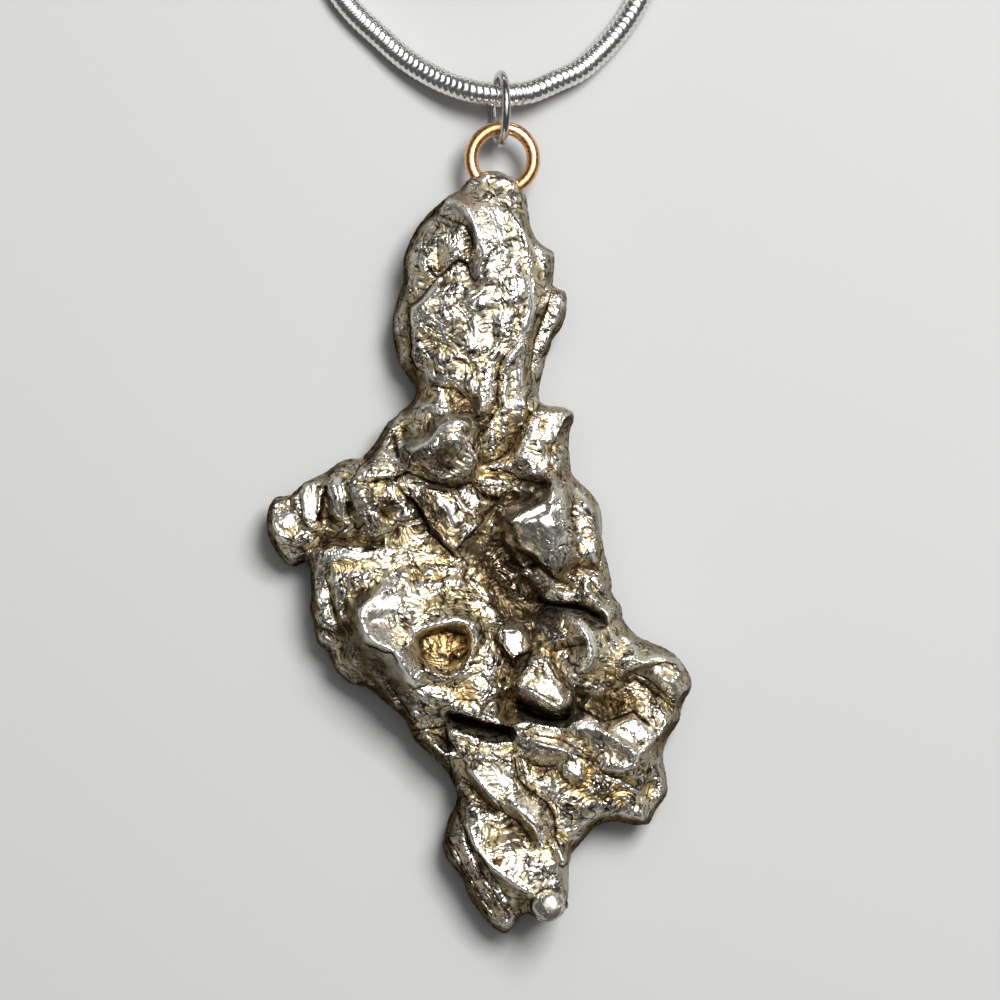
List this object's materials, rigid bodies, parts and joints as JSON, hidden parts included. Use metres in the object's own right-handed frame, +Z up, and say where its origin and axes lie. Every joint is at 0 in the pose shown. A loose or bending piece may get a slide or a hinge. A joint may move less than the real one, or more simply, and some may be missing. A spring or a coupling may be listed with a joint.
{
  "type": "meteorite",
  "caption": "Crumpled, folded iron meteorite fragment with a wire loop through its tip, a jump ring and a snake chain, lying on its back.",
  "frame": {"origin": "on the surface it lies on, under the middle of the pendant's box, without its chain", "axes": "+Y from the tail to the wire loop, +Z up out of the face, +X to the right seen from above"},
  "size_m": [0.0342, 0.1041, 0.0105],
  "materials": {
    "iron": "nickel-iron, worn bright on the crests, olive-brown and rough in the hollows",
    "copper": "polished copper-coloured wire",
    "steel": "polished stainless steel"
  },
  "bodies": {
    "root": {"meteorite": "iron", "wire_loop": "copper", "jump_ring": "steel", "snake_chain": "steel", "chain_coil": "steel"}
  },
  "joints": []
}
